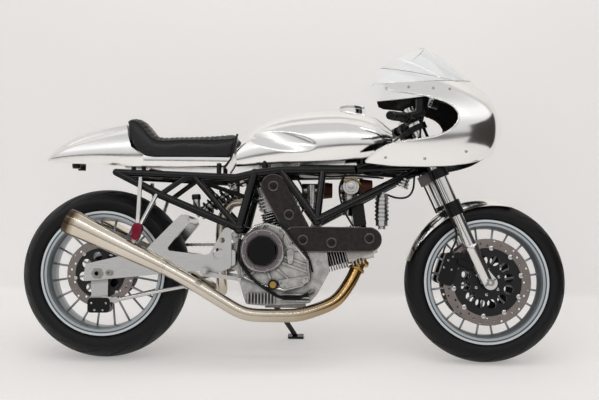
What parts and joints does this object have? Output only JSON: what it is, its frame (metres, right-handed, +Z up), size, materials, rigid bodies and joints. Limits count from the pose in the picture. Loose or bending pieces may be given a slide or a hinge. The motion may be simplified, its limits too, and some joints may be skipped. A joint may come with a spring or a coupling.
{
  "type": "motorcycle",
  "caption": "Cafe racer motorcycle with half fairing, trellis frame, finned twin engine, wire-style wheels and megaphone silencers, leaning on its side stand.",
  "frame": {"origin": "on the ground under the middle of the whole machine's bounding box, as it leans on its side stand", "axes": "+X forward, +Y to the rider's left, which is the side it leans to, +Z up"},
  "size_m": [2.04, 0.708, 1.1687],
  "materials": {
    "rubber_tyre": "matte",
    "wheel_grey": "satin",
    "brake_steel": "brushed",
    "black_metal": "satin",
    "polished": "polished",
    "silver": "satin",
    "engine_alloy": "satin",
    "steel": "brushed",
    "pipe": "polished",
    "clear": "gloss",
    "leather": "satin",
    "rubber": "matte",
    "filter": "matte",
    "lens": "gloss",
    "red_lens": "gloss",
    "chain_steel": "oiled"
  },
  "bodies": {
    "chassis": {"belt_covers": "engine_alloy", "breather_can": "silver", "breather_filter": "red_lens", "breather_hose": "rubber", "caliper_bracket": "silver", "carburettors": "engine_alloy", "clutch_cover": "black_metal", "crankcase": "engine_alloy", "cylinder_front": "engine_alloy", "cylinder_rear": "engine_alloy", "drive_chain": "chain_steel", "dropouts": "silver", "exhaust_left": "pipe", "exhaust_right": "pipe", "fairing": "polished", "fairing_stay": "black_metal", "frame": "black_metal", "fuel_tank": "polished", "headlamp": "lens", "horn": "silver", "instruments": "black_metal", "megaphone_hangers": "silver", "megaphones": "pipe", "mesh_filters": "filter", "oil_cooler": "black_metal", "oil_filler": "silver", "rear_axle": "steel", "rear_caliper": "black_metal", "rear_shock": "steel", "rearsets": "silver", "seat_pad": "leather", "stand_bosses": "steel", "subframe": "black_metal", "swingarm": "silver", "tail_cowl": "polished", "tail_lamp": "red_lens", "windscreen": "clear"},
    "steering": {"fork_lowers": "silver", "fork_outer_tubes": "silver", "fork_collars": "black_metal", "lower_yoke": "black_metal", "upper_yoke": "black_metal", "clip_on_bars": "black_metal", "grips": "rubber", "hand_controls": "black_metal", "front_fender": "polished", "front_calipers": "black_metal", "front_axle": "steel"},
    "front_wheel_body": {"front_tyre": "rubber_tyre", "front_wheel": "wheel_grey", "front_discs": "brake_steel"},
    "rear_wheel_body": {"rear_tyre": "rubber_tyre", "rear_wheel": "wheel_grey", "rear_disc": "brake_steel", "rear_sprocket": "steel"},
    "side_stand_body": {"side_stand": "black_metal"},
    "fuel_cap_body": {"fuel_cap": "silver"}
  },
  "joints": [
    {"name": "steering_turn", "type": "hinge", "parent": "chassis", "child": "steering", "pos_m": [0.51489, -0.03033, 0.65719], "axis": [-0.4147, 0.1736, 0.8932], "range_deg": [-28, 28]},
    {"name": "front_wheel_spin", "type": "hinge", "parent": "steering", "child": "front_wheel_body", "pos_m": [0.72, -0.10057, 0.29587], "axis": [0, 0.9816, -0.1908], "continuous": true},
    {"name": "rear_wheel_spin", "type": "hinge", "parent": "chassis", "child": "rear_wheel_body", "pos_m": [-0.705, -0.09754, 0.31142], "axis": [0, 0.9816, -0.1908], "continuous": true},
    {"name": "side_stand_fold", "type": "hinge", "parent": "chassis", "child": "side_stand_body", "pos_m": [-0.093, 0.03195, 0.1915], "axis": [0.2006, 0.895, 0.3983], "range_deg": [0, 95]},
    {"name": "fuel_cap_lift", "type": "hinge", "parent": "chassis", "child": "fuel_cap_body", "pos_m": [0.263, 0.02457, 0.93966], "axis": [0, 0.9816, -0.1908], "range_deg": [0, 95]}
  ]
}
